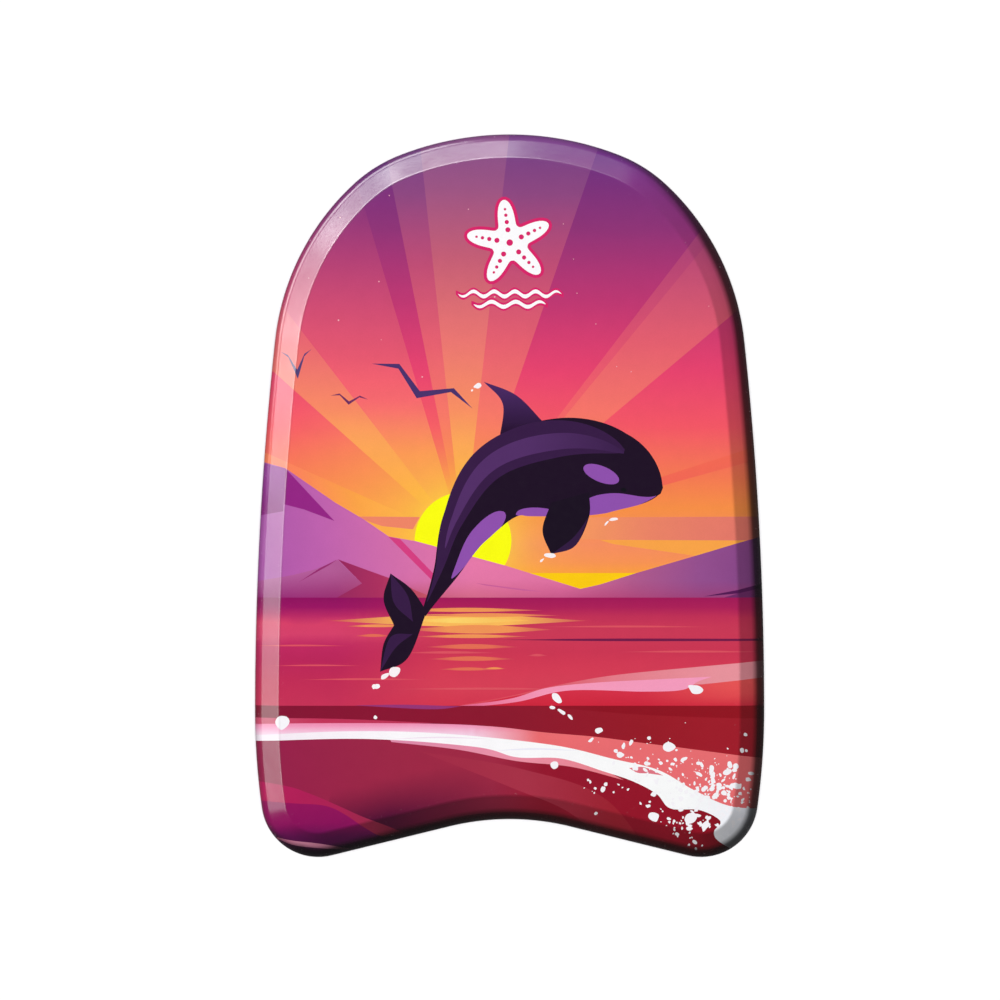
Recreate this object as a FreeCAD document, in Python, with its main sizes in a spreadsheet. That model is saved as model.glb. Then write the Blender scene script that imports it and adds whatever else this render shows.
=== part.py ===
"""Kickboard float: a foam slab with a domed nose, a bevelled rim and a hollowed tail.

The board is a laminate. A bead-foam core is covered by a deck sheet and a bottom sheet of fine
closed-cell foam, and two foam strips close the side wall between them: one runs from tail corner to
tail corner round the nose, the other crosses the tail. A printed film is bonded over the deck sheet
and a plain slick film over the bottom sheet.

Frame, in millimetres: the origin is on the resting face, below the middle of the bounding box. +Z is
the thickness, with the printed deck on top. +Y points to the nose and +X to the right of the print.
"""

import FreeCAD, Part
import os
import Sketcher

# Driving dimensions, in millimetres and degrees.
SIZES = {
    "length": 420.0,  # nose to tail corners
    "width": 296.0,  # at the widest point
    "thickness": 35.0,
    "widest_height": 85.0,  # widest point, measured from the tail corners towards the nose
    "nose_radius": 175.0,  # flattest part of the dome
    "nose_half_width": 64.0,  # where the nose arc gives way to the brow arc
    "brow_radius": 85.0,
    "shoulder_radius": 145.0,
    "side_radius": 2000.0,  # the long, nearly straight side
    "hip_radius": 400.0,  # below the widest point
    "corner_radius": 33.0,  # tail corners
    "notch_depth": 22.0,  # hollow in the tail, for the swimmer's body
    "notch_radius": 147.0,
    "deck_rim": 14.5,  # outline to the crease of the deck bevel, in plan
    "deck_slope": 28.0,  # bevel angle from the flat deck
    "deck_roll": 8.0,  # radius from the bevel into the side wall
    "bottom_rim": 9.0,
    "bottom_slope": 35.0,
    "bottom_roll": 6.0,
    "crease": 4.0,  # radius where a bevel meets a flat face
    "film_gauge": 0.3,
    "foam_gauge": 2.0,
    "deck_seam": 21.0,  # height where the deck sheet meets the side strips
    "bottom_seam": 10.5,  # height where the bottom sheet meets the side strips
    "film_setback": 1.0,  # each film is trimmed this far short of its foam sheet's edge
    "strip_joint": 112.0,  # half the width of the tail strip, out to its butt joints
}
ANGLE_NAMES = ("deck_slope", "bottom_slope")
GEOMETRY_TOLERANCE = 1e-3
HEIGHT_DIGITS = 4  # heights that agree to this many decimals are the same level
CUTTER_MARGIN = 10.0  # how far a cutting slab stands outside the board


def make_sheet(doc):
    """The spreadsheet of driving dimensions, one aliased cell each."""
    sheet = doc.addObject("Spreadsheet::Sheet", "Sizes")
    for row, (name, value) in enumerate(SIZES.items(), start=1):
        sheet.set(f"A{row}", name)
        sheet.set(f"B{row}", str(value))
        sheet.setAlias(f"B{row}", name)
    doc.recompute()
    return sheet


def size(name):
    """The expression that reads one cell, as an angle where it is one."""
    cell = f"Sizes.{name}"
    return f"({cell} * 1deg)" if name in ANGLE_NAMES else cell


def origin_plane(body, role):
    return next(f for f in body.Origin.OriginFeatures if f.Role == role)


def point(centre, radius, degrees):
    """The point of a circle at an angle."""
    spoke = FreeCAD.Rotation(FreeCAD.Vector(0, 0, 1), degrees).multVec(FreeCAD.Vector(radius, 0, 0))
    return centre + spoke


def rough_arcs():
    """Centre, radius and angles of each arc of the right half, close enough for the sketch solver."""
    s = SIZES
    widest = FreeCAD.Vector(s["width"] / 2, s["widest_height"] - s["length"] / 2, 0)
    nose_turn, brow_turn, side_turn = 68.5, 47.0, 6.0  # outward normal where each arc ends, in degrees
    hip_turn, notch_turn = -8.0, 13.7
    side = widest - FreeCAD.Vector(s["side_radius"], 0, 0)
    shoulder = point(side, s["side_radius"] - s["shoulder_radius"], side_turn)
    brow = point(shoulder, s["shoulder_radius"] - s["brow_radius"], brow_turn)
    nose = FreeCAD.Vector(0, s["length"] / 2 - s["nose_radius"], 0)
    hip = widest - FreeCAD.Vector(s["hip_radius"], 0, 0)
    corner = point(hip, s["hip_radius"] - s["corner_radius"], hip_turn)
    notch = FreeCAD.Vector(0, s["notch_depth"] - s["length"] / 2 - s["notch_radius"], 0)
    return {
        "nose": (nose, s["nose_radius"], nose_turn, 90.0),
        "brow": (brow, s["brow_radius"], brow_turn, nose_turn),
        "shoulder": (shoulder, s["shoulder_radius"], side_turn, brow_turn),
        "side": (side, s["side_radius"], 0.0, side_turn),
        "hip": (hip, s["hip_radius"], hip_turn, 0.0),
        "corner": (corner, s["corner_radius"], -90.0 - notch_turn, hip_turn),
        "notch": (notch, s["notch_radius"], 90.0 - notch_turn, 90.0),
    }


def half_outline(body, inset):
    """The right half of the board's outline, moved in by inset, as a fully constrained sketch."""
    sketch = body.newObject("Sketcher::SketchObject", body.Name + "Outline")
    sketch.AttachmentSupport = [(origin_plane(body, "XY_Plane"), "")]
    sketch.MapMode = "FlatFace"
    up = FreeCAD.Vector(0, 0, 1)
    index = {}
    arcs = rough_arcs()
    for name, (centre, radius, start, end) in arcs.items():
        turn = [FreeCAD.Units.Quantity(f"{a} deg").getValueAs("rad").Value for a in (start, end)]
        index[name] = sketch.addGeometry(Part.ArcOfCircle(Part.Circle(centre, up, radius), *turn))
    line_start = point(arcs["corner"][0], arcs["corner"][1], arcs["corner"][2])
    line_end = point(arcs["notch"][0], arcs["notch"][1], arcs["notch"][2])
    index["tail"] = sketch.addGeometry(Part.LineSegment(line_start, line_end))
    apexes = [point(arcs[name][0], arcs[name][1], 90.0) for name in ("nose", "notch")]
    index["middle"] = sketch.addGeometry(Part.LineSegment(*apexes))

    # Ends of an arc: 1 is its start, 2 its end and 3 its centre. The sketch's origin is (-1, 1) and
    # its vertical axis is -2.
    chain = ["nose", "brow", "shoulder", "side", "hip", "corner"]
    for upper, lower in zip(chain, chain[1:]):
        sketch.addConstraint(Sketcher.Constraint("Tangent", index[upper], 1, index[lower], 2))
    sketch.addConstraint(Sketcher.Constraint("Tangent", index["corner"], 1, index["tail"], 1))
    sketch.addConstraint(Sketcher.Constraint("Tangent", index["tail"], 2, index["notch"], 1))
    sketch.addConstraint(Sketcher.Constraint("Coincident", index["nose"], 2, index["middle"], 1))
    sketch.addConstraint(Sketcher.Constraint("Coincident", index["notch"], 2, index["middle"], 2))
    for name in ("nose", "notch"):
        for end in (2, 3):
            sketch.addConstraint(Sketcher.Constraint("PointOnObject", index[name], end, -2))
    sketch.addConstraint(Sketcher.Constraint("Horizontal", index["side"], 3, index["side"], 1))

    def dimension(name, expression, kind, *where):
        value = float(sketch.evalExpression(expression))
        number = sketch.addConstraint(Sketcher.Constraint(kind, *where, value))
        sketch.renameConstraint(number, name)
        sketch.setExpression(f"Constraints.{name}", expression)

    for name in arcs:
        sign = "+" if name == "notch" else "-"
        expression = f"Sizes.{name}_radius {sign} {inset}"
        dimension(name + "_radius", expression, "Radius", index[name])
    half_length = "Sizes.length / 2"
    dimension("nose_tip", f"{half_length} - {inset}", "DistanceY", -1, 1, index["nose"], 2)
    notch_tip = f"{half_length} - Sizes.notch_depth - {inset}"
    dimension("notch_tip", notch_tip, "DistanceY", index["notch"], 2, -1, 1)
    corner_drop = f"{half_length} - Sizes.corner_radius"
    dimension("corner_drop", corner_drop, "DistanceY", index["corner"], 3, -1, 1)
    dimension("half_width", f"Sizes.width / 2 - {inset}", "DistanceX", -1, 1, index["hip"], 2)
    widest_drop = f"{half_length} - Sizes.widest_height"
    dimension("widest_drop", widest_drop, "DistanceY", index["hip"], 2, -1, 1)
    nose_joint = f"Sizes.nose_half_width * (1 - {inset} / Sizes.nose_radius)"
    dimension("nose_half_width", nose_joint, "DistanceX", -1, 1, index["nose"], 1)
    if sketch.solve() != 0 or not sketch.FullyConstrained:
        raise RuntimeError(f"{sketch.Name} isn't fully constrained")
    return sketch


def rim_edges(shape, height):
    """Names of the edges that lie all the way round at one height."""
    names = []
    for number, edge in enumerate(shape.Edges, start=1):
        box = edge.BoundBox
        if abs(box.ZMin - height) < GEOMETRY_TOLERANCE and abs(box.ZMax - height) < GEOMETRY_TOLERANCE:
            names.append(f"Edge{number}")
    return names


def bevel(body, base, side, inset, height):
    """A two-distance chamfer round one face of the slab, offset inward by inset."""
    slope, rim = size(side + "_slope"), f"Sizes.{side}_rim"
    drop = f"({rim} * tan({slope}) - {inset} * (1 + tan({slope}) - 1 / cos({slope})))"
    feature = body.newObject("PartDesign::Chamfer", f"{body.Name}{side.title()}Bevel")
    feature.Base = (base, rim_edges(base.Shape, height))
    feature.ChamferType = "Two distances"
    feature.setExpression("Size", drop)
    feature.setExpression("Size2", f"{drop} / tan({slope})")
    body.Document.recompute()
    return feature


def rounding(body, base, edges, expression, name):
    feature = body.newObject("PartDesign::Fillet", body.Name + name)
    feature.Base = (base, edges)
    feature.setExpression("Radius", expression)
    body.Document.recompute()
    return feature


def envelope(doc, name, inset):
    """The board's outer form moved in by inset, as a body: slab, bevels, rolled rim and creases."""
    body = doc.addObject("PartDesign::Body", name)
    sketch = half_outline(body, inset)
    slab = body.newObject("PartDesign::Pad", name + "Slab")
    slab.Profile = sketch
    slab.setExpression("Length", f"Sizes.thickness - 2 * {inset}")
    whole = body.newObject("PartDesign::Mirrored", name + "Whole")
    whole.Originals = [slab]
    whole.MirrorPlane = (origin_plane(body, "YZ_Plane"), [""])
    body.Tip = whole
    body.setExpression("Placement.Base.z", inset)
    doc.recompute()

    top = float(body.evalExpression(f"Sizes.thickness - 2 * {inset}"))
    tip = bevel(body, whole, "deck", inset, top)
    tip = bevel(body, tip, "bottom", inset, 0.0)
    # The bevelled slab has corners at four levels: bottom face, low bevel edge, high bevel edge, deck.
    _, low_edge, high_edge, _ = sorted({round(v.Z, HEIGHT_DIGITS) for v in tip.Shape.Vertexes})
    deck_rolls = rim_edges(tip.Shape, high_edge)
    tip = rounding(body, tip, deck_rolls, f"Sizes.deck_roll - {inset}", "DeckRoll")
    bottom_rolls = rim_edges(tip.Shape, low_edge)
    tip = rounding(body, tip, bottom_rolls, f"Sizes.bottom_roll - {inset}", "BottomRoll")
    creases = rim_edges(tip.Shape, top) + rim_edges(tip.Shape, 0.0)
    tip = rounding(body, tip, creases, f"Sizes.crease - {inset}", "Creases")
    body.Tip = tip
    doc.recompute()
    return body


def zone(doc, name, low, high, half_width=None):
    """A cutting slab between two heights, as wide as the board unless half_width is given."""
    box = doc.addObject("Part::Box", name)
    half = half_width or f"(Sizes.width / 2 + {CUTTER_MARGIN})"
    box.setExpression("Length", f"2 * {half}")
    box.setExpression("Width", f"Sizes.length + 2 * {CUTTER_MARGIN}")
    box.setExpression("Height", f"{high} - ({low})")
    box.setExpression("Placement.Base.x", f"-({half})")
    box.setExpression("Placement.Base.y", f"-Sizes.length / 2 - {CUTTER_MARGIN}")
    box.setExpression("Placement.Base.z", low)
    return box


def tail_zone(doc):
    """The slab behind which the tail strip lies: the tail end, between its two butt joints."""
    box = zone(doc, "TailZone", "0", "Sizes.thickness", "Sizes.strip_joint")
    box.setExpression("Width", f"{CUTTER_MARGIN} + Sizes.length / 4")
    return box


def boolean(doc, kind, name, base, tool):
    feature = doc.addObject(f"Part::{kind}", name)
    feature.Base = base
    feature.Tool = tool
    return feature


def label(feature, name):
    feature.Label = name
    return feature


def make_layers(doc):
    """Every separate piece of the laminate, by label."""
    film, skin = "Sizes.film_gauge", "(Sizes.film_gauge + Sizes.foam_gauge)"
    outside = envelope(doc, "Outside", "0")
    under_film = envelope(doc, "UnderFilm", film)
    core = envelope(doc, "Core", skin)

    film_shell = boolean(doc, "Cut", "FilmShell", outside, under_film)
    foam_shell = boolean(doc, "Cut", "FoamShell", under_film, core)
    wall_shell = boolean(doc, "Cut", "WallShell", outside, core)

    above = f"Sizes.thickness + {CUTTER_MARGIN}"
    below = f"-{CUTTER_MARGIN}"
    deck_zone = zone(doc, "DeckZone", "Sizes.deck_seam", above)
    film_zone = zone(doc, "DeckFilmZone", "Sizes.deck_seam + Sizes.film_setback", above)
    wall_zone = zone(doc, "WallZone", "Sizes.bottom_seam", "Sizes.deck_seam")
    bottom_zone = zone(doc, "BottomZone", below, "Sizes.bottom_seam")
    slick_zone = zone(doc, "SlickZone", below, "Sizes.bottom_seam - Sizes.film_setback")
    wall = boolean(doc, "Common", "Wall", wall_shell, wall_zone)
    tail = tail_zone(doc)
    return [
        label(core, "foam_core"),
        label(boolean(doc, "Common", "DeckSheet", foam_shell, deck_zone), "deck_foam"),
        label(boolean(doc, "Common", "DeckFilm", film_shell, film_zone), "printed_deck_film"),
        label(boolean(doc, "Cut", "SideStrip", wall, tail), "side_rail"),
        label(boolean(doc, "Common", "TailStrip", wall, tail), "tail_rail"),
        label(boolean(doc, "Common", "BottomSheet", foam_shell, bottom_zone), "bottom_foam"),
        label(boolean(doc, "Common", "SlickFilm", film_shell, slick_zone), "bottom_film"),
    ]


def check(doc, layers):
    """Stops on a failed feature or on a layer that isn't one valid solid."""
    for feature in doc.Objects:
        if "Invalid" in feature.State or "Error" in feature.State:
            raise RuntimeError(f"{feature.Name} failed: {feature.State}")
    for layer in layers:
        shape = layer.Shape
        if shape.isNull() or not shape.isValid() or len(shape.Solids) != 1:
            raise RuntimeError(f"{layer.Label} isn't one valid solid")
        print(f"{layer.Label}: {shape.Volume:.0f} mm3")


def main():
    doc = FreeCAD.newDocument("Kickboard")
    make_sheet(doc)
    layers = make_layers(doc)
    doc.recompute()
    check(doc, layers)
    os.makedirs("parts", exist_ok=True)
    for layer in layers:
        layer.Shape.exportStep(f"parts/{layer.Label}.step")


main()
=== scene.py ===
"""Kickboard float: looks.

Every layer of the laminate is built again here as a finished mesh in the place of its CAD solid. The
deck film carries a printed sunset over the sea, drawn as flat shapes with smooth gradients. All the
drawing is done in millimetres on the board's plan, with the nose up the page and the origin at the
middle of the board, as in the CAD frame.
"""

import math
import random

import bpy
import numpy as np
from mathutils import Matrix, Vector
from mathutils.geometry import delaunay_2d_cdt


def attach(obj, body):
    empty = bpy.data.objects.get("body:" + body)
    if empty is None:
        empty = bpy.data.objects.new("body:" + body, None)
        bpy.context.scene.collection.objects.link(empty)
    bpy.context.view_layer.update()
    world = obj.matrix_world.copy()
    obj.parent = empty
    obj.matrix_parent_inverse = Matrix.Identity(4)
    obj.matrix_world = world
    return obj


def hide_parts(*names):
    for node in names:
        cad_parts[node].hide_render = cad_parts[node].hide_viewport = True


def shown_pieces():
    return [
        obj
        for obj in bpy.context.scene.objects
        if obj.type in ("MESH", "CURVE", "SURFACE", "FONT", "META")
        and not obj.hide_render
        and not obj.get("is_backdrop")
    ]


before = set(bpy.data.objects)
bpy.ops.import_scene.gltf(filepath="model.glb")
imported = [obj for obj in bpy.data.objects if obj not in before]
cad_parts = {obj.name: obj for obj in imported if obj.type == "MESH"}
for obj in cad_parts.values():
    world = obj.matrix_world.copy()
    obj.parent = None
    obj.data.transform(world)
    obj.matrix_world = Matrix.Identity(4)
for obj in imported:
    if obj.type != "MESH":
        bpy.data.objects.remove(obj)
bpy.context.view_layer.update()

MM = 0.001

# The board, as in the CAD model.
LENGTH, WIDTH, THICKNESS = 420.0, 296.0, 35.0
WIDEST_HEIGHT = 85.0
NOSE_RADIUS, NOSE_HALF_WIDTH = 175.0, 64.0
BROW_RADIUS, SHOULDER_RADIUS, SIDE_RADIUS = 85.0, 145.0, 2000.0
HIP_RADIUS, CORNER_RADIUS = 400.0, 33.0
NOTCH_DEPTH, NOTCH_RADIUS = 22.0, 147.0
FILM, FOAM = 0.3, 2.0
SKIN = FILM + FOAM
CREASE = 4.0
DECK_SEAM, BOTTOM_SEAM, FILM_SETBACK = 21.0, 10.5, 1.0
STRIP_JOINT = 112.0
LIP_RISE = 0.8  # how far the film's turned-in edge goes back up
RAIL_ROUND, END_PINCH, BUTT_GAP = 0.7, 0.35, 0.15  # the side strips' corners, ends and butt joints
RAIL_STEP = 2.5
WHITE_LEVEL = 1.12  # how bright the studio shows a white deck, so inks are mixed darker by this much
VEIL = 0.0065  # and how much light the gloss adds over every ink
DARKEST_INK = 0.0008


# ---------------------------------------------------------------------------------------------- outline
def unit(degrees):
    """A vector of length one, turned anticlockwise from +X."""
    return np.array([math.cos(math.radians(degrees)), math.sin(math.radians(degrees))])


def meet(first, first_radius, second, second_radius):
    """The lower of the two points where two circles cross."""
    gap = second - first
    reach = np.linalg.norm(gap)
    along = (first_radius**2 - second_radius**2 + reach**2) / (2 * reach)
    across = math.sqrt(first_radius**2 - along**2)
    foot = first + gap * along / reach
    side = np.array([-gap[1], gap[0]]) * across / reach
    return min((foot + side, foot - side), key=lambda p: p[1])


def angle(vector):
    """The direction of a vector in degrees, anticlockwise from +X."""
    return math.degrees(math.atan2(vector[1], vector[0]))


def right_half():
    """The right half of the outline, from the notch round to the nose, as arcs and one line.

    An arc is (centre, radius, from, to), with a negative radius where it is hollow. A line is
    (start, end). Both run so that the board lies on their left.
    """
    half = LENGTH / 2
    nose = np.array([0.0, half - NOSE_RADIUS])
    nose_turn = math.degrees(math.acos(NOSE_HALF_WIDTH / NOSE_RADIUS))
    brow = nose + (NOSE_RADIUS - BROW_RADIUS) * unit(nose_turn)
    widest = np.array([WIDTH / 2, WIDEST_HEIGHT - half])
    side = widest - [SIDE_RADIUS, 0]
    shoulder = meet(side, SIDE_RADIUS - SHOULDER_RADIUS, brow, SHOULDER_RADIUS - BROW_RADIUS)
    brow_turn, side_turn = angle(brow - shoulder), angle(shoulder - side)
    hip = widest - [HIP_RADIUS, 0]
    drop = widest[1] - (CORNER_RADIUS - half)
    run = math.sqrt((HIP_RADIUS - CORNER_RADIUS) ** 2 - drop**2)
    corner = np.array([hip[0] + run, CORNER_RADIUS - half])
    hip_turn = angle(corner - hip)
    notch = np.array([0.0, NOTCH_DEPTH - half - NOTCH_RADIUS])
    gap = corner - notch
    reach = np.linalg.norm(gap)
    slope = math.degrees(math.atan2(gap[0], gap[1]) - math.acos((CORNER_RADIUS + NOTCH_RADIUS) / reach))
    tail_start = notch + NOTCH_RADIUS * unit(90 - slope)
    tail_end = corner + CORNER_RADIUS * unit(-90 - slope)
    joint = -math.degrees(math.acos((STRIP_JOINT - corner[0]) / CORNER_RADIUS))
    return [
        (notch, -NOTCH_RADIUS, 90.0, 90.0 - slope),
        (tail_start, tail_end),
        (corner, CORNER_RADIUS, -90.0 - slope, joint),
        (corner, CORNER_RADIUS, joint, hip_turn),
        (hip, HIP_RADIUS, hip_turn, 0.0),
        (side, SIDE_RADIUS, 0.0, side_turn),
        (shoulder, SHOULDER_RADIUS, side_turn, brow_turn),
        (brow, BROW_RADIUS, brow_turn, nose_turn),
        (nose, NOSE_RADIUS, nose_turn, 90.0),
    ]


HALF = right_half()
TAIL_PIECES = 3  # of the half outline, those that the tail strip covers


def half_samples(step, pieces):
    """Points and outward normals along some pieces of the half outline, without the last point."""
    points, normals = [], []
    for piece in pieces:
        if len(piece) == 2:
            start, end = piece
            count = max(2, round(np.linalg.norm(end - start) / step))
            run = (end - start) / np.linalg.norm(end - start)
            for i in range(count):
                points.append(start + (end - start) * i / count)
                normals.append(np.array([run[1], -run[0]]))
            continue
        centre, radius, start, end = piece
        sweep = abs(math.radians(end - start) * radius)
        count = max(2, round(sweep / step))
        for i in range(count):
            spoke = unit(start + (end - start) * i / count)
            points.append(centre + abs(radius) * spoke)
            normals.append(spoke * math.copysign(1, radius))
    return points, normals


def outline(step):
    """The whole outline, anticlockwise from the notch, as arrays of points and outward normals."""
    points, normals = half_samples(step, HALF)
    nose, up = np.array([0.0, LENGTH / 2]), np.array([0.0, 1.0])
    flip = np.array([-1.0, 1.0])
    left = [p * flip for p in points[:0:-1]]
    left_normals = [n * flip for n in normals[:0:-1]]
    return np.array(points + [nose] + left), np.array(normals + [up] + left_normals)


def locate(points):
    """How far each point is inside the outline, and the outline's normal there.

    The distance is right in the rim, and at least the rim's width further in.
    """
    points = np.atleast_2d(points)
    folded = np.stack([np.abs(points[:, 0]), points[:, 1]], axis=1)
    depth = np.full(len(points), 1e3)
    normal = np.tile([0.0, 1.0], (len(points), 1))
    for piece in HALF:
        if len(piece) == 2:
            start, end = piece
            reach = np.linalg.norm(end - start)
            run = (end - start) / reach
            along = (folded - start) @ run
            n = np.tile([run[1], -run[0]], (len(points), 1))
            inside = (start - folded) @ n[0]
            here = (along >= 0) & (along <= reach)
        else:
            centre, radius, low, high = piece
            spoke = folded - centre
            reach = np.linalg.norm(spoke, axis=1)
            turn = np.degrees(np.arctan2(spoke[:, 1], spoke[:, 0]))
            low, high = min(low, high), max(low, high)
            turn = np.where(turn > high + 90, turn - 360, turn)
            here = (turn >= low - 1e-6) & (turn <= high + 1e-6)
            n = spoke / reach[:, None] * math.copysign(1, radius)
            inside = (abs(radius) - reach) * math.copysign(1, radius)
        take = here & (inside < depth) & (inside > -5)
        depth = np.where(take, inside, depth)
        normal = np.where(take[:, None], n, normal)
    normal[:, 0] *= np.where(points[:, 0] < 0, -1, 1)
    return depth, normal


# ---------------------------------------------------------------------------------------------- profile
class Rim:
    """The section through the rim of one face: flat, crease, bevel, roll and wall.

    Heights are measured from the resting face; side is 1 for the deck and -1 for the bottom.
    """

    def __init__(self, side, width, slope, roll):
        self.side, self.width, self.slope, self.roll = side, width, math.radians(slope), roll
        self.face = THICKNESS if side > 0 else 0.0
        fall = width * math.tan(self.slope) + roll * math.tan(math.pi / 4 - self.slope / 2)
        self.wall = self.face - side * fall
        self.bevel_start = roll * (1 - math.sin(self.slope))
        self.flat_start = width + CREASE * math.tan(self.slope / 2)
        self.crease_start = self.flat_start - CREASE * math.sin(self.slope)

    def tilt(self, depth):
        """How far the surface leans out from flat, in radians, at a distance in from the outline."""
        rolled = np.arcsin(np.clip((self.roll - depth) / self.roll, 0, 1))
        creased = np.arcsin(np.clip((self.flat_start - depth) / CREASE, 0, 1))
        lean = np.where(depth < self.bevel_start, rolled, self.slope)
        return np.where(depth > self.crease_start, creased, lean)

    def height(self, depth):
        tilt = self.tilt(depth)
        rolled = self.wall + self.side * self.roll * np.cos(tilt)
        bevelled = self.face - self.side * (self.width - depth) * math.tan(self.slope)
        creased = self.face - self.side * CREASE * (1 - np.cos(tilt))
        high = np.where(depth < self.bevel_start, rolled, bevelled)
        return np.where(depth > self.crease_start, creased, high)

    def rings(self, start, steps):
        """Distances in from the outline where the surface needs a line of points."""
        roll = np.linspace(start, self.bevel_start, steps + 1)
        bevel = np.linspace(self.bevel_start, self.crease_start, steps + 1)[1:]
        crease = np.linspace(self.crease_start, self.flat_start, steps + 1)[1:]
        return list(roll) + list(bevel) + list(crease)


DECK = Rim(1, 14.5, 28.0, 8.0)
BOTTOM = Rim(-1, 9.0, 35.0, 6.0)
EDGE_RING = 1.2  # the plan is meshed up to this distance from the outline, and swept beyond it
ROLL_ROWS = 6  # rows of faces round the roll in the swept edge
SNAP = 1e-4  # points of the plan closer than this are taken as one


# ---------------------------------------------------------------------------------------------- meshing
def area(polygon):
    """The area of a polygon, positive where it runs anticlockwise."""
    x, y = polygon[:, 0], polygon[:, 1]
    return float(np.sum(x * np.roll(y, -1) - y * np.roll(x, -1)) / 2)


def triangulate(rim, shapes, step, steps, grid):
    """Meshes the plan of one face inside the edge ring.

    Returns the points, the triangles, for each triangle the set of shapes that it lies in, and the
    points of the edge ring in order. shapes is a list of polygons.
    """
    edge, out = outline(step)
    points, edges, faces = [], [], []

    def loop(ring):
        first = len(points)
        points.extend(ring)
        return list(range(first, first + len(ring)))

    rings = [edge - out * distance for distance in rim.rings(EDGE_RING, steps)]
    faces.append(loop(rings[0]))
    for ring in rings[1:]:
        ids = loop(ring)
        edges += list(zip(ids, ids[1:] + ids[:1]))
    for polygon in shapes:
        ordered = polygon if area(polygon) > 0 else polygon[::-1]
        faces.append(loop(ordered))
    row_height = grid * math.sqrt(3) / 2
    rows, columns = int(LENGTH / row_height) + 1, int(WIDTH / grid) + 1
    nodes = np.array([
        ((column + (row % 2) / 2) * grid - WIDTH / 2, row * row_height - LENGTH / 2)
        for row in range(rows) for column in range(columns)
    ])
    depth, _ = locate(nodes)
    clear = (depth > rim.flat_start + grid / 3) & (np.abs(nodes[:, 1]) < LENGTH / 2 - grid)
    points.extend(nodes[clear & inside_board(nodes)])
    inside_only = 1
    result = delaunay_2d_cdt([tuple(map(float, p)) for p in points], edges, faces, inside_only, SNAP)
    verts, _, tris, _, _, origin = result
    kept, owners = [], []
    for tri, source in zip(tris, origin):
        if 0 in source and len(tri) == 3:
            kept.append(tri)
            owners.append({i - 1 for i in source if i > 0})
    kept = np.array(kept)
    verts = np.array([(v[0], v[1]) for v in verts])
    used = np.unique(kept)
    renumber = np.full(len(verts), -1)
    renumber[used] = np.arange(len(used))
    kept, verts = renumber[kept], verts[used]
    a, b, c = (verts[kept[:, i]] for i in range(3))
    turned = (b[:, 0] - a[:, 0]) * (c[:, 1] - a[:, 1]) - (b[:, 1] - a[:, 1]) * (c[:, 0] - a[:, 0]) < 0
    kept[turned] = kept[turned][:, ::-1]
    return verts, kept, owners, edge_loop(kept)


def inside_board(nodes):
    """Whether each point is inside the outline, by counting crossings."""
    edge, _ = outline(4.0)
    following = np.roll(edge, -1, axis=0)
    inside = np.zeros(len(nodes), dtype=bool)
    for (x0, y0), (x1, y1) in zip(edge, following):
        if y0 == y1:
            continue
        straddles = (y0 > nodes[:, 1]) != (y1 > nodes[:, 1])
        crossing = x0 + (nodes[:, 1] - y0) * (x1 - x0) / (y1 - y0)
        inside ^= straddles & (nodes[:, 0] < crossing)
    return inside


def edge_loop(tris):
    """The one boundary loop of a set of triangles, anticlockwise."""
    sides = {}
    for a, b, c in tris.tolist():
        for side in ((a, b), (b, c), (c, a)):
            sides[side] = True
    following = {a: b for a, b in sides if (b, a) not in sides}
    start = min(following)
    loop, at = [start], following[start]
    while at != start:
        loop.append(at)
        at = following[at]
    return loop


def face_surface(rim, sheet, edge_height):
    """Points, normals and faces of one whole face of the board, from its middle out over the rim.

    The surface is the board's outermost one. After the sheet's own points come rows of the swept
    edge: round the roll and along the wall to edge_height. The last row is the free edge.
    """
    plan, tris, _, loop = sheet
    depth, out = locate(plan)
    tilt, height = rim.tilt(depth), rim.height(depth)
    points = [np.column_stack([plan, height])]
    normals = [np.column_stack([out * np.sin(tilt)[:, None], rim.side * np.cos(tilt)])]
    edge_out = out[loop]
    edge = plan[loop] + edge_out * depth[loop][:, None]
    level = np.ones(len(loop))
    first_lean = float(np.median(tilt[loop]))
    for lean in np.linspace(first_lean, math.pi / 2, ROLL_ROWS + 1)[1:]:
        at = edge - edge_out * rim.roll * (1 - math.sin(lean))
        points.append(np.column_stack([at, level * (rim.wall + rim.side * rim.roll * math.cos(lean))]))
        normals.append(np.column_stack([edge_out * math.sin(lean), level * rim.side * math.cos(lean)]))
    points.append(np.column_stack([edge, level * edge_height]))
    normals.append(np.column_stack([edge_out, level * 0]))
    faces = [list(t) for t in (tris if rim.side > 0 else tris[:, ::-1])]
    previous, base = list(loop), len(plan)
    for _ in range(ROLL_ROWS + 1):
        current = list(range(base, base + len(loop)))
        faces += strip(previous, current, rim.side < 0)
        previous, base = current, base + len(loop)
    return np.vstack(points), np.vstack(normals), faces, previous


def strip(inner, outer, flipped):
    """Quads between two closed rows of the same length."""
    quads = []
    for i in range(len(inner)):
        j = (i + 1) % len(inner)
        quad = [inner[i], outer[i], outer[j], inner[j]]
        quads.append(quad[::-1] if flipped else quad)
    return quads


def make_object(name, points, faces, normals=None):
    """A smooth-shaded piece of the board, from points in millimetres."""
    mesh = bpy.data.meshes.new(name)
    mesh.from_pydata([tuple(p) for p in np.asarray(points) * MM], [], [[int(i) for i in f] for f in faces])
    mesh.validate(clean_customdata=False)
    mesh.polygons.foreach_set("use_smooth", [True] * len(mesh.polygons))
    if normals is not None:
        mesh.normals_split_custom_set_from_vertices([tuple(n) for n in normals])
    mesh.update()
    piece = bpy.data.objects.new(name, mesh)
    bpy.context.scene.collection.objects.link(piece)
    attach(piece, "root")
    return piece


# ---------------------------------------------------------------------------------------------- drawing
DROP_KNOTS, DROP_STEPS = 7, 3  # round a drop of spray, and from one knot to the next


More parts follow.
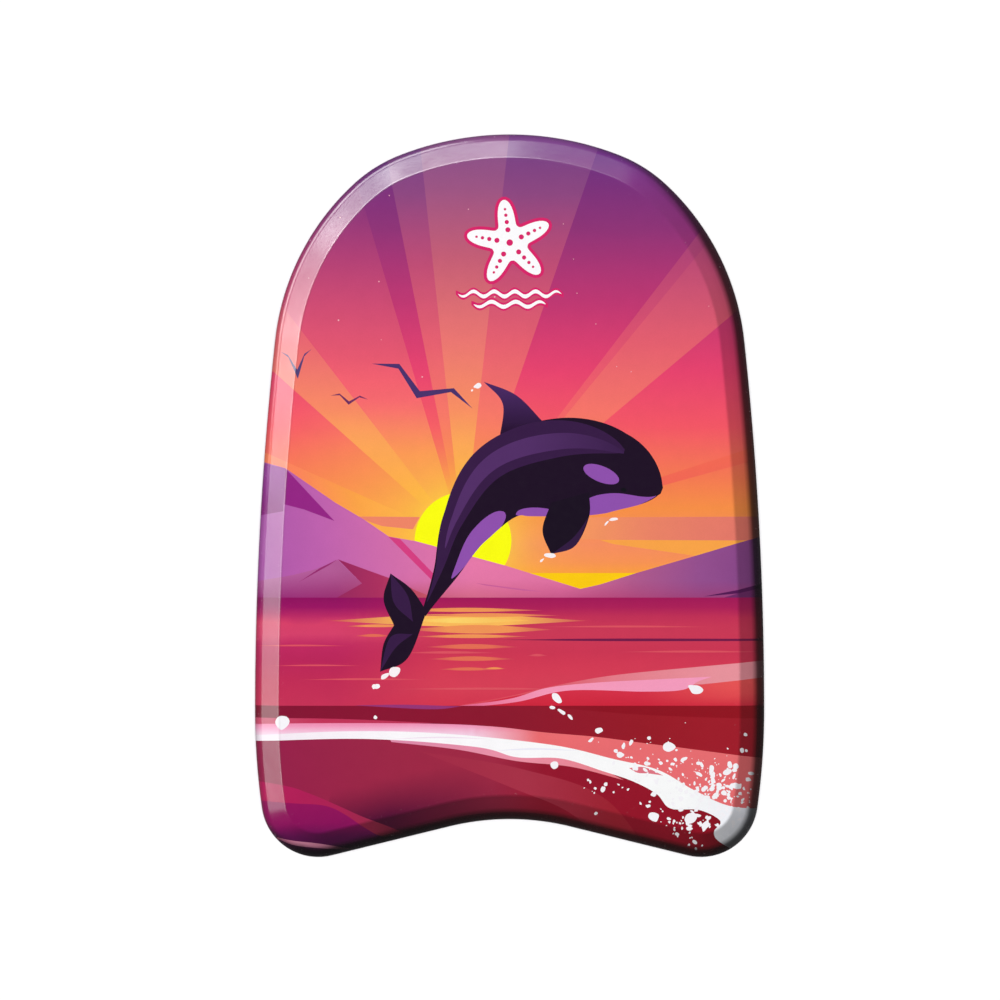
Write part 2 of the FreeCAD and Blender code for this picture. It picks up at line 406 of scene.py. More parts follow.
def linear(channel):
    """An sRGB channel out of 255 as linear light."""
    c = channel / 255
    return c / 12.92 if c <= 0.04045 else ((c + 0.055) / 1.055) ** 2.4


def ink(*rgb):
    """A colour as seen on the deck, out of 255, as the film's reflectance."""
    return np.array([max(DARKEST_INK, linear(c) - VEIL) / WHITE_LEVEL for c in rgb])


def flat(*rgb):
    """An even fill."""
    colour = ink(*rgb)
    return lambda xy: np.tile(colour, (len(xy), 1))


def ramp(axis, *stops):
    """A gradient along the page: x or y. Each stop is a place followed by a colour."""
    places = [stop[0] for stop in stops]
    colours = [ink(*stop[1:]) for stop in stops]
    column = "xy".index(axis)

    def fill(xy):
        channels = [np.interp(xy[:, column], places, [c[k] for c in colours]) for k in range(3)]
        return np.column_stack(channels)

    return fill


def mixed(first, second, share_at):
    """One fill turning into another, by a share that is worked out at each point."""

    def fill(xy):
        share = np.clip(share_at(xy), 0, 1)[:, None]
        return first(xy) * (1 - share) + second(xy) * share

    return fill


def blend(first, second, axis, start, end):
    """One fill turning into another along the page."""
    column = "xy".index(axis)
    return mixed(first, second, lambda xy: (xy[:, column] - start) / (end - start))


def from_rim(first, second, start, end):
    """One fill near the outline turning into another further in."""
    return mixed(first, second, lambda xy: (locate(xy)[0] - start) / (end - start))


def spline(knots, spacing=None):
    """A smooth curve from the second knot up to the last but one. The end knots only steer it."""
    path = []
    for before, start, end, after in zip(knots, knots[1:], knots[2:], knots[3:]):
        count = max(1, math.ceil(np.linalg.norm(end - start) / spacing)) if spacing else DROP_STEPS
        bend, twist = 2 * before - 5 * start + 4 * end - after, 3 * start - before - 3 * end + after
        for i in range(count):
            s = i / count
            path.append(start + 0.5 * ((end - before) * s + bend * s**2 + twist * s**3))
    return path


def curve(*points, spacing=1.6):
    """A smooth open curve through points, without its last point."""
    points = [np.array(p, dtype=float) for p in points]
    return spline([2 * points[0] - points[1]] + points + [2 * points[-1] - points[-2]], spacing)


def closed(first, *others):
    """A closed shape of smooth runs that meet in corners. Each run starts where the last one ended."""
    path, corner = curve(*first), first[-1]
    for run in others:
        path += curve(corner, *run)
        corner = run[-1]
    return np.array(path)


def polygon(*points, spacing=5.0):
    """A straight-sided shape, with points along its sides so that a gradient follows them."""
    corners = [np.array(p, dtype=float) for p in points]
    path = []
    for start, end in zip(corners, corners[1:] + corners[:1]):
        count = max(1, math.ceil(np.linalg.norm(end - start) / spacing))
        path += [start + (end - start) * i / count for i in range(count)]
    return np.array(path)


def placed(shape, x, y, turn, size=1.0):
    """A shape drawn round the origin, turned, scaled and moved to its place on the page."""
    c, s = unit(turn) * size
    return np.asarray(shape) @ np.array([[c, s], [-s, c]]) + [x, y]


def circle(x, y, radius, squash=1.0, turn=0.0, count=40):
    turns = np.linspace(0, 2 * math.pi, count, endpoint=False)
    return placed(np.column_stack([radius * np.cos(turns), radius * squash * np.sin(turns)]), x, y, turn)


def lens(x0, x1, y, thick, lift=0.0):
    """A streak with pointed ends, bowed up by lift."""
    mid = (x0 + x1) / 2
    return closed([(x0, y), (mid, y + lift + thick / 2), (x1, y)], [(mid, y + lift - thick / 2), (x0, y)])


def blob(dice, x, y, radius, squash, turn):
    """A droplet with an uneven edge."""
    knots = []
    for at in np.linspace(0, 2 * math.pi, DROP_KNOTS, endpoint=False):
        spoke = radius * dice.uniform(0.72, 1.15)
        knots.append((spoke * math.cos(at), spoke * squash * math.sin(at)))
    knots = list(placed(knots, x, y, turn))
    return np.array(spline(knots[-1:] + knots + knots[:2]))


class Picture:
    """Shapes in painting order. A shape may be kept inside an earlier one."""

    def __init__(self):
        self.shapes, self.fills, self.inside, self.names = [], [], [], {}

    def add(self, shape, fill, name=None, inside=None):
        if name:
            self.names[name] = len(self.shapes)
        self.inside.append(self.names[inside] if inside else None)
        self.shapes.append(shape)
        self.fills.append(fill)

    def top(self, owners):
        """Which shape shows, out of those that cover a spot."""
        for shape in sorted(owners, reverse=True):
            if self.inside[shape] is None or self.inside[shape] in owners:
                return shape
        return 0


SUN = (-27.0, -26.0)
SUN_RADIUS, SUN_GLOW = 28.0, 14.0
HORIZON = -59.0
PAGE = 160.0  # half the width of a shape that runs off the board

# The evening sky from low to high, as the gaps between the sun's rays and as the rays themselves.
SKY_DARK = ramp("y", (-46, 254, 162, 60), (-38, 251, 148, 88), (-28, 249, 142, 98), (-8, 250, 146, 72),
    (10, 248, 124, 84), (40, 246, 88, 103), (72, 232, 68, 111), (110, 193, 57, 114), (155, 142, 53, 119),
    (195, 108, 50, 126))
SKY_LEFT = ramp("y", (-10, 252, 168, 76), (25, 252, 150, 87), (39, 250, 131, 100), (53, 247, 106, 111),
    (67, 243, 97, 112), (81, 229, 88, 112), (109, 207, 77, 115), (137, 177, 65, 117), (165, 140, 56, 121),
    (200, 112, 54, 127))
SKY_MID = ramp("y", (-22, 250, 148, 84), (-8, 252, 150, 74), (12, 251, 134, 80), (48, 248, 118, 106),
    (88, 230, 96, 112), (134, 190, 77, 117), (174, 141, 72, 128), (200, 120, 66, 132))
SKY_LIGHT = ramp("y", (-22, 250, 152, 84), (0, 255, 172, 72), (31, 253, 164, 90), (50, 249, 142, 100),
    (90, 235, 118, 114), (137, 196, 94, 117), (178, 155, 85, 131), (200, 138, 80, 135))


def glowing(fill):
    """A sky fill warmed by the sun it passes."""

    def nearness(xy):
        away = np.hypot(xy[:, 0] - SUN[0], xy[:, 1] - SUN[1]) - SUN_RADIUS
        return 0.6 * np.exp(-np.clip(away, 0, None) / SUN_GLOW)

    return mixed(fill, flat(255, 208, 66), nearness)


def paint_sky(picture):
    """A graded evening sky with the sun's rays fanned across it."""
    picture.add(polygon((-PAGE, -220), (PAGE, -220), (PAGE, 220), (-PAGE, 220)), glowing(SKY_DARK))
    between = blend(SKY_MID, SKY_LIGHT, "y", 110, 40)
    hazy = ramp("x", (-124, 251, 132, 92), (-104, 252, 150, 80), (-87, 253, 164, 72), (-74, 254, 168, 76))
    rays = [
        (40, 50.6, SKY_MID), (50.6, 52.5, blend(SKY_DARK, SKY_MID, "y", -200, 300)), (71, 83.5, SKY_MID),
        (83.5, 96.2, SKY_LIGHT), (96.2, 101.3, SKY_MID), (106.5, 127.6, SKY_LEFT), (127.6, 138.3, between),
        (138.3, 156, blend(SKY_DARK, SKY_LEFT, "x", -140, -40)), (156, 180, hazy),
    ]
    for low, high, fill in rays:
        tips = [tuple(np.array(SUN) + 330 * unit(a)) for a in (low, high)]
        picture.add(polygon(SUN, *tips), glowing(fill))
    corners = [(112, 15.4), (230, 15.4), (230, 17.8), (112, 17.8)]
    far_ray = [np.array(SUN) + reach * unit(angle) for reach, angle in corners]
    picture.add(polygon(*far_ray), flat(246, 106, 86))
    dice = random.Random(11)
    for _ in range(22):
        x, y = dice.uniform(-120, 120), dice.uniform(60, 185)
        picture.add(circle(x, y, dice.uniform(0.25, 0.5), count=8), flat(236, 176, 186))


def paint_haze(picture):
    """Strips of haze and light low over the horizon, and the sun."""
    haze = ramp("x", (30, 250, 158, 96), (80, 238, 134, 104), (110, 233, 126, 106), (150, 230, 120, 108))
    picture.add(polygon((38, -12.6), (PAGE, -12.0), (PAGE, -27), (30, -25)), haze)
    picture.add(polygon((52, -25.6), (PAGE, -26), (132, -31), (109, -35), (60, -28)), flat(252, 166, 74))
    picture.add(polygon((-90, -12), (-52, -12.3), (-56, -19.5), (-74, -17.6)), flat(240, 134, 104))
    picture.add(circle(*SUN, SUN_RADIUS, count=90), flat(252, 254, 6))
    picture.add(polygon((10, -44.8), (76, -44.8), (76, -58), (10, -58)), flat(254, 205, 4))


def paint_hills(picture):
    """Ranges of hills on both sides of the bay, misty where they meet the water."""
    mist = ramp("x", (-148, 154, 50, 124), (-100, 156, 52, 116), (-60, 190, 80, 106), (-23, 214, 106, 136),
        (30, 201, 86, 138), (55, 188, 75, 126), (108, 157, 67, 123))
    far = ramp("x", (-148, 170, 86, 168), (-110, 190, 98, 174), (-70, 210, 110, 172), (-20, 232, 122, 170),
        (30, 228, 118, 166), (70, 196, 100, 152))
    ridge = polygon((-PAGE, 26), (-141, 19), (-130, 16), (-101, -4), (-84, -14), (-70, -23.6), (-54, -26.4),
        (-28, -33.5), (-2, -40.6), (14, -45.6), (41, -54), (80, -55), (80, HORIZON), (-PAGE, HORIZON))
    picture.add(ridge, blend(far, mist, "y", -48, -60), "left hills")
    picture.add(polygon((-70.4, -23.6), (-63.5, -25), (-37, -52.5), (-43, -51)), flat(214, 64, 130))
    shade = ramp("y", (-8, 142, 38, 130), (4, 150, 56, 146), (14, 156, 66, 156))
    picture.add(polygon((-PAGE, 24), (-136, 17), (-130, 16), (-131, -9), (-PAGE, -14)), shade,
        inside="left hills")
    picture.add(polygon((-130, 16), (-101.5, -14.6), (-119, -8), (-130.5, -5)), flat(148, 40, 132))
    lilac = ramp("x", (-148, 184, 104, 164), (-120, 182, 96, 156), (-90, 176, 88, 144))
    near = blend(lilac, mist, "y", -44, -58)
    picture.add(polygon((-PAGE, -52), (-126, -46), (-112, -42.5), (-99.5, -37.2), (-85.5, -50.8),
        (-100, HORIZON), (-PAGE, HORIZON)), near)
    picture.add(polygon((-122, -50), (-105, -40.5), (-99.5, -36.8), (-110, -42)), flat(150, 46, 110))
    picture.add(polygon((-99.5, -36.8), (-84, -42.5), (-66, -49), (-54, -55), (-44, HORIZON),
        (-100, HORIZON), (-85.5, -50.8)), ramp("x", (-100, 150, 42, 94), (-74, 174, 50, 96),
        (-45, 200, 88, 104)))
    right = ramp("x", (30, 222, 116, 160), (70, 178, 92, 142), (110, 150, 81, 145), (148, 132, 68, 134))
    picture.add(polygon((34, -55.5), (52, -51.5), (72, -45.2), (109, -34.4), (132, -27.5), (PAGE, -20),
        (PAGE, HORIZON), (20, HORIZON)), blend(right, mist, "y", -50, -60))
    picture.add(polygon((112, -58.4), (132, -54.6), (148, -50.6), (152, -52.4), (132, -56.6)),
        flat(84, 28, 84))
    picture.add(polygon((124, HORIZON), (132, -56.6), (152, -52.4), (152, HORIZON)), flat(112, 46, 104))
    picture.add(polygon((-20, -50.5), (20, -55.6), (8, -55), (-14, -52)), flat(204, 98, 154))


def paint_sea(picture):
    """The bay with the sun's reflection, a rolling swell and a dark trough in front of it."""
    left = ramp("y", (-122, 200, 52, 88), (-107, 194, 46, 87), (-95, 187, 40, 91), (-86, 193, 44, 98),
        (-82, 214, 66, 108), (-73, 215, 65, 105), (-69, 180, 38, 101), (-64, 151, 22, 99),
        (-59, 142, 16, 95))
    right = ramp("y", (-122, 214, 56, 80), (-110, 217, 66, 88), (-98, 214, 60, 86), (-90, 206, 56, 85),
        (-78, 206, 60, 89), (-71, 200, 54, 88), (-66, 177, 36, 90), (-59, 163, 28, 90))
    picture.add(polygon((-PAGE, HORIZON), (PAGE, HORIZON), (PAGE, -123), (-PAGE, -123)),
        blend(left, right, "x", -100, -40))
    fade = (206, 60, 90)
    gold, amber, copper, rose = (252, 188, 92), (242, 150, 88), (230, 112, 86), (222, 84, 98)
    streaks = [
        (-106, 46, -72.4, 7.2, gold), (-70, 20, -66.4, 2.4, amber), (-56, 30, -69.4, 2.2, amber),
        (-62, 26, -77.6, 5.0, amber), (-96, -56, -75.6, 1.6, amber), (-90, -68, -81.2, 1.6, copper),
        (-56, 12, -81.6, 2.2, amber), (-50, 6, -87.6, 2.8, copper), (-64, -6, -91.0, 1.4, rose),
        (-48, 4, -94.6, 2.6, copper), (-42, -6, -100.6, 1.8, copper), (-16, -2, -100.2, 1.2, amber),
        (10, 22, -92.6, 1.4, rose), (-140, -84, -98.5, 0.9, rose), (-150, -92, -87.0, 1.0, rose),
        (-122, -44, -106.5, 1.1, rose), (14, 120, -76.0, 1.1, rose), (60, 152, -90.5, 1.2, rose),
        (-70, 40, -112.0, 1.2, rose),
    ]
    for x0, x1, y, thick, colour in streaks:
        middle = (x0 + x1) / 2
        core = 0.2 * (x1 - x0)
        fill = ramp("x", (x0, *fade), (middle - core, *colour), (middle + core, *colour), (x1, *fade))
        picture.add(lens(x0, x1, y, thick, lift=0.3), fill)
    picture.add(lens(-62, 12, -72.2, 3.2), ramp("x", (-62, *gold), (-34, 254, 214, 108), (12, *gold)))
    picture.add(closed([(-12, -83.4), (60, -82.7), (PAGE, -82.9)], [(PAGE, -84.1)],
        [(60, -84.2), (-12, -83.4)]), ramp("x", (-10, 176, 52, 80), (30, 116, 30, 74)))
    salmon = ramp("x", (-10, 222, 76, 92), (26, 224, 92, 108), (60, 232, 126, 140), (120, 236, 150, 160))
    picture.add(closed([(-32, -122), (0, -116), (26, -110), (60, -104), (110, -99), (PAGE, -94.5)],
        [(PAGE, -108)], [(90, -110), (30, -114), (-32, -122)]), salmon)
    picture.add(closed([(-28, -122.4), (25, -112.6), (80, -112), (PAGE, -104)], [(PAGE, -123)],
        [(-28, -122.6)]), blend(ramp("y", (-122, 208, 40, 62), (-106, 222, 58, 82)),
        ramp("y", (-122, 212, 46, 66), (-115, 232, 80, 84), (-106, 234, 88, 88)), "x", 76, 124))
    swell = [(-32, -122), (0, -117.6), (22, -111.2), (50, -108.2), (84, -106.4), (117, -104.8)]
    picture.add(closed(swell, [(109, -107.6), (100, -112.4), (78, -113.4), (34, -112.8), (4, -119.4),
        (-30, -123)]), ramp("x", (-20, 236, 110, 150), (20, 250, 156, 188), (90, 248, 158, 192)))
    trough = ramp("x", (-148, 132, 24, 54), (-60, 140, 25, 52), (0, 142, 28, 48), (80, 154, 30, 42),
        (120, 162, 32, 45))
    picture.add(polygon((-PAGE, -121.6), (PAGE, -121.6), (PAGE, -160), (-PAGE, -160)), trough)
    picture.add(closed([(14, -121.6), (PAGE, -121.6)], [(PAGE, -129.6)], [(80, -127), (14, -121.6)]),
        ramp("x", (14, 142, 26, 44), (60, 144, 23, 37), (148, 150, 25, 36)))
    picture.add(closed([(-90, -121.4), (-60, -121), (-28, -122)], [(-46, -123.6), (-90, -121.4)]),
        flat(150, 56, 120))
    picture.add(closed([(-PAGE, -128.6), (-100, -129.2), (-44, -131.6)], [(-100, -133), (-PAGE, -134)]),
        ramp("x", (-150, 206, 84, 116), (-110, 196, 54, 90), (-50, 190, 56, 90)))


def paint_shore(picture):
    """The near wave, its foam, the dark water, painted shade at the tail rim and a painted highlight."""
    front = ramp("x", (-148, 150, 34, 76), (-75, 158, 41, 72), (-10, 163, 44, 70), (20, 150, 26, 48),
        (90, 150, 24, 42), (148, 128, 20, 30))
    near_edge = [(-PAGE, -133), (-122, -131.8), (-50, -131.9), (-10, -133.6), (20, -137), (50, -139.6),
        (76, -143), (100, -146), (124, -149.2), (PAGE, -154)]
    picture.add(closed(near_edge, [(PAGE, -220)], [(-PAGE, -220)], [near_edge[0]]), front, "near water")
    # Painted shade: the water darkens towards the tail's outline, most towards the left.
    painted_tail_rim_shade = from_rim(blend(flat(84, 4, 54), front, "x", -70, 10), front, 15, 36)
    fold = [(-PAGE, -176), (-125.4, -178.1), (-107, -179.5), (-95.4, -184.5), (-83.8, -192.4),
        (-73.6, -197.6)]
    swirls_with_painted_shade_and_highlight = [
        ([(-100, -150), (-30, -150), (24, -150)], [(24, -222), (-100, -222), (-100, -150)], painted_tail_rim_shade),
        (fold, [(-80, -222), (-PAGE, -222), (-PAGE, -176)],
         ramp("y", (-208, 80, 10, 72), (-197, 96, 12, 78), (-190, 138, 20, 90), (-178, 148, 24, 92))),
        ([(-PAGE, -164), (-130.3, -167.9), (-114.9, -172.8), (-99.2, -179.5), (-86.4, -185.3),
          (-73.6, -190.3), (-60, -196)], fold[::-1],
         ramp("x", (-143, 184, 32, 92), (-100, 172, 36, 84), (-76, 150, 44, 72), (-62, 120, 28, 58))),
        # A pale streak along the lower left bevel: a painted highlight.
        ([(-138, -197.6), (-126, -200), (-112, -201.4), (-98, -203.8), (-88, -205.6)],
         [(-100, -205), (-114, -204), (-126, -202.4), (-138, -197.6)],
         ramp("x", (-136, 190, 96, 132), (-122, 224, 144, 172), (-106, 216, 136, 164), (-90, 120, 40, 76))),
        ([(-52, -148), (6, -158), (56, -176), (88, -220)], [(70, -220), (38, -186), (0, -168.6), (-52, -148)],
         ramp("x", (-40, 165, 46, 73), (10, 170, 52, 73), (60, 158, 36, 50))),
    ]
    for top, low, fill in swirls_with_painted_shade_and_highlight:
        picture.add(closed(top, low), fill, inside="near water")
    warm = ramp("x", (20, 238, 110, 114), (110, 236, 112, 116), (148, 230, 110, 112))
    cool = ramp("y", (-138, 248, 212, 232), (-135.4, 249, 178, 210), (-132.4, 242, 142, 180))
    blush = blend(cool, warm, "x", -22, 16)
    picture.add(closed(near_edge, [(PAGE, -186)],
        [(120, -179), (100, -168), (60, -156), (20, -146), (-20, -142), (-80, -139), (-PAGE, -140)],
        [near_edge[0]]), blush)
    picture.add(closed([(-70, -140), (-20, -143), (20, -149), (48, -156), (66, -164.6)],
        [(36, -157), (4, -153.6), (-30, -147), (-70, -142.4)]),
        ramp("x", (-60, 226, 140, 172), (0, 240, 150, 172), (60, 236, 130, 140)))
    crest = [(-PAGE, -139.5), (-96, -136.4), (-40, -137.6), (24, -144.2), (60, -152.4), (86, -158.8),
        (107, -170.6), (129, -180), (PAGE, -182)]
    trail = [(124.8, -202.8), (118.2, -195), (122, -188.4), (110, -182), (93, -181), (85, -172.6),
        (71, -165.2), (55, -159.8), (30, -152.2), (4, -151.4), (-20, -145.4), (-84, -140.8),
        (-PAGE, -142.6)]
    picture.add(closed(crest, [(PAGE, -222)], trail, [crest[0]]),
        ramp("x", (-148, 248, 236, 246), (-60, 255, 252, 255), (100, 254, 255, 255), (148, 238, 240, 250)),
        "foam")
    picture.add(lens(-70, -10, -140.9, 0.8, lift=1.0), flat(246, 230, 244), inside="foam")
    picture.add(lens(-10, 40, -147.6, 1.0, lift=1.0), flat(240, 238, 250), inside="foam")
    picture.add(closed([(69, -157.6), (78, -157.2), (89, -162)],
        [(80, -160.8), (74, -160.4), (69, -157.6)]), flat(226, 118, 132))
    paint_spray(picture)


def paint_spray(picture):
    """Drops of spray thrown up along the near wave, thickest at its right end."""
    white = flat(250, 248, 252)
    dice = random.Random(4)
    for _ in range(260):
        along = dice.random() ** 0.5
        x = 48 + 92 * along + dice.gauss(0, 5)
        crest = -150 - 30 * max(0.0, (x - 44) / 90) ** 1.2
        y = crest + 3 + dice.gauss(0, 4 + 11 * along)
        radius = 0.35 + 1.5 * dice.random() ** 3
        if x < 141 and y < -124:
            picture.add(blob(dice, x, y, radius, dice.uniform(0.5, 1.0), dice.uniform(0, 180)), white)
    for count, x, y, across, tall in ((56, 118, -170, 10, 6), (26, 107, -189, 8, 4.5)):
        for _ in range(count):
            at = dice.gauss(x, across), dice.gauss(y, tall)
            picture.add(blob(dice, *at, dice.uniform(0.5, 2.0), dice.uniform(0.4, 1.0),
                dice.uniform(0, 180)), white)
    for _ in range(34):
        x = dice.uniform(40, 116)
        y = -156 - 0.0062 * (x - 30) ** 2 - dice.uniform(4, 14)
        picture.add(blob(dice, x, y, dice.uniform(0.3, 1.1), dice.uniform(0.5, 1.0), dice.uniform(0, 180)),
            white)
    drops = [
        (-131.6, -131.2, 5.4, 0.76, 10), (92.5, -145.5, 3.4, 0.8, 0), (107.5, -111.8, 4.2, 0.66, -8),
        (51.5, -136, 2.3, 0.8, 0), (47, -141.5, 2.0, 0.5, 35), (27, -117, 3.9, 0.5, -40),
        (24.5, -122.6, 1.8, 0.6, 0), (30, -125, 2.6, 0.45, -35), (35, -128, 2.0, 0.5, -50),
        (64, -150, 2.2, 0.9, 0), (83.5, -186, 3.2, 0.8, -20), (80, -179.6, 1.4, 0.7, 0),
        (26, -156, 2.5, 0.9, 0), (54, -170, 2.0, 0.6, 70), (-77, -110.6, 1.8, 0.9, 0),
        (-77.6, -128.4, 1.3, 0.9, 0), (105, -187, 4.2, 0.8, 30), (113, -191, 3.4, 0.6, 60),
        (126, -160, 2.6, 0.6, 20), (117, -158, 2.4, 0.7, 80), (131, -168, 3.0, 0.7, 0),
        (101, -152.6, 2.2, 0.5, 30), (50, -184, 1.1, 0.9, 0), (97, -196, 1.3, 0.8, 0),
    ]
    for x, y, radius, squash, turn in drops:
        picture.add(blob(dice, x, y, radius, squash, turn), white)


def gull(x, y, span, turn, lift):
    """A gull on the wing: two bent wings that meet at its body. lift raises the wing tips."""
    tip, elbow, thick = (0.5, lift), (0.27, 0.12 + 0.6 * lift), 0.05 + 0.4 * lift
    low_elbow = (elbow[0] - 0.01, elbow[1] - 0.04 - 0.06 * lift)
    left_tip, left_elbow, left_low = ((-px, py) for px, py in (tip, elbow, low_elbow))
    path = closed([left_tip, left_elbow, (0, 0)], [elbow, tip], [low_elbow, (0, -thick)],
        [left_low, left_tip])
    return placed(path, x, y, turn, span)


def paint_gulls(picture):
    """Three gulls on the wing."""
    picture.add(gull(-52, 60.5, 64, -24, 0.05), flat(74, 52, 108))
    picture.add(gull(-93, 54.6, 22, -6, 0.1), flat(112, 50, 96))
    picture.add(gull(-123, 73, 18, 4, 0.62), flat(82, 66, 120))


WHALE_SPINE = curve((-50, -69), (-37, -44), (-25, -17), (-4, 8.5), (30, 16.5), (62, 13), (89, 2.5),
    spacing=1.0)
WHALE_GIRTH = 28.0  # half the depth of its body at the deepest


def whale_band(start, end, low, high, pointed=True):
    """A band of the whale's body, between two shares of its length and two shares of its half depth.

    Depth runs from -1 at the belly to 1 at the back.
    """
    spine = np.array(WHALE_SPINE)
    shares = np.linspace(0, 1, len(spine))
    along = np.gradient(spine, axis=0)
    back = np.column_stack([-along[:, 1], along[:, 0]]) / np.linalg.norm(along, axis=1)[:, None]
    swell = np.sin(math.pi * np.clip(shares, 0.004, 0.998) ** 1.95) ** 0.62
    girth = back * (1.6 * (1 - shares) + WHALE_GIRTH * swell)[:, None]
    here = (shares >= start) & (shares <= end)
    run = (shares[here] - shares[here][0]) / np.ptp(shares[here])
    spread = np.sqrt(np.sin(math.pi * np.clip(run, 0.002, 0.998))) if pointed else np.ones(len(run))
    middle, half = (low + high) / 2, (high - low) / 2 * spread
    lower = spine[here] + girth[here] * (middle - half)[:, None]
    upper = spine[here] + girth[here] * (middle + half)[:, None]
    return np.vstack([lower, upper[::-1]])


def paint_whale(picture):
    """A whale leaping to the right: flukes, body, fins, pale patches and the wet it throws."""
    night, mid, lilac = flat(34, 18, 40), flat(57, 31, 71), flat(144, 82, 174)
    light = blend(flat(84, 49, 104), flat(60, 34, 76), "x", 10, 66)
    picture.add(closed([(-48, -67), (-57, -54), (-69, -45)], [(-73, -60), (-67, -75)],
        [(-73, -86), (-75, -102)], [(-59, -94), (-48, -67)]), night, "flukes")
    picture.add(closed([(-69, -45), (-59, -58), (-56, -73)], [(-67, -62), (-69, -45)]), mid, inside="flukes")
    picture.add(closed([(-75, -102), (-66, -88), (-56, -80)], [(-69, -82), (-75, -102)]), mid,
        inside="flukes")
    picture.add(closed([(20, 42), (4, 58), (-15, 66)], [(-4, 53), (-6, 32)], [(20, 42)]),
        ramp("y", (38, 42, 22, 52), (62, 74, 43, 98)))
    picture.add(whale_band(0, 1, -1, 1, pointed=False), night, "whale")
    picture.add(whale_band(0.04, 0.86, 0.12, 1.05), mid, inside="whale")
    picture.add(whale_band(0.22, 0.86, 0.34, 0.72), light, inside="whale")
    picture.add(whale_band(0.75, 0.99, -1.1, -0.5), lilac, inside="whale")
    picture.add(whale_band(0.44, 0.66, -1.1, -0.8), lilac, inside="whale")
    picture.add(whale_band(0.14, 0.42, -1.1, -0.3), lilac, inside="whale")
    picture.add(circle(53, 12.5, 11, squash=0.42, turn=-22), lilac)
    picture.add(circle(66, 3.4, 1.7, squash=0.7, turn=-10, count=16), flat(22, 12, 28))
    picture.add(closed([(24, -4), (19, -20), (24, -34)], [(38, -29), (46, -12), (46, 2)], [(24, -4)]),
        flat(30, 17, 36))
    picture.add(closed([(24, -34), (38, -29), (46, -12)], [(37, -24), (24, -34)]), flat(52, 30, 66))
    dice = random.Random(9)
    wets = [(-18.6, 63.6, 2.4, 0.7, 35), (-21.8, 61, 0.9, 0.6, 35), (-67, -101.6, 3.8, 0.8, 25),
        (-72.5, -104.6, 3.0, 0.45, 35), (-78.4, -110.4, 1.7, 0.9, 0), (23, -34.6, 3.4, 0.5, -8),
        (18.6, -37.4, 1.6, 0.4, 40), (60, -13.6, 3.4, 0.28, 12), (56, -16, 2.0, 0.3, 50)]
    for x, y, radius, squash, turn in wets:
        picture.add(blob(dice, x, y, radius, squash, turn), flat(252, 244, 246))


def starfish(x, y, radius, turn, grow):
    """A round-armed five-pointed starfish, grown outwards by grow for a keyline."""
    turns = np.radians(np.arange(0, 360, 3))
    arm = ((1 + np.cos(5 * (turns - math.radians(turn)))) / 2) ** 1.5
    reach = radius * (0.42 + 0.58 * arm)
    path = np.column_stack([x + reach * np.cos(turns), y + reach * np.sin(turns)])
    along = np.roll(path, -1, axis=0) - np.roll(path, 1, axis=0)
    out = np.column_stack([along[:, 1], -along[:, 0]]) / np.linalg.norm(along, axis=1)[:, None]
    return path + out * grow


def wavelet(x, y, length, crests, rise, thick, grow):
    """A row of small waves drawn as one ribbon."""
    half = length / 2 + grow
    xs = np.linspace(-half, half, crests * 12 + 1)
    swell = rise * np.sin(2 * math.pi * crests * xs / length)
    body = (thick / 2) * np.sqrt(np.clip(1 - (xs / half) ** 4, 0, 1)) + grow
    top = np.column_stack([x + xs, y + swell + body])
    low = np.column_stack([x + xs, y + swell - body])
    return np.vstack([low, top[::-1]])


def paint_emblem(picture):
    """A plain starfish over two rows of waves, white with a pink keyline."""
    pink, white = flat(216, 40, 106), flat(253, 252, 254)
    x, y, radius, turn = 0.0, 146.5, 25.0, 98.0
    picture.add(starfish(x, y, radius, turn, 1.9), pink)
    picture.add(starfish(x, y, radius, turn, 0.0), white)
    for arm in range(5):
        spoke = unit(turn + 72 * arm)
        for share, dot in ((0.30, 1.5), (0.48, 1.25), (0.64, 1.0), (0.78, 0.75)):
            picture.add(circle(x + radius * share * spoke[0], y + radius * share * spoke[1], dot, count=14),
                pink)
    picture.add(circle(x, y, 1.9, count=18), pink)
    for row, length, crests in ((116.8, 60, 5), (110.8, 42, 3)):
        picture.add(wavelet(x, row, length, crests, 1.5, 2.3, 1.2), pink)
        picture.add(wavelet(x, row, length, crests, 1.5, 2.3, 0.0), white)


def draw_picture():
    """The whole print, painted from back to front."""
    picture = Picture()
    for paint in (paint_sky, paint_haze, paint_hills, paint_sea, paint_shore, paint_gulls, paint_emblem,
            paint_whale):
        paint(picture)
    return picture


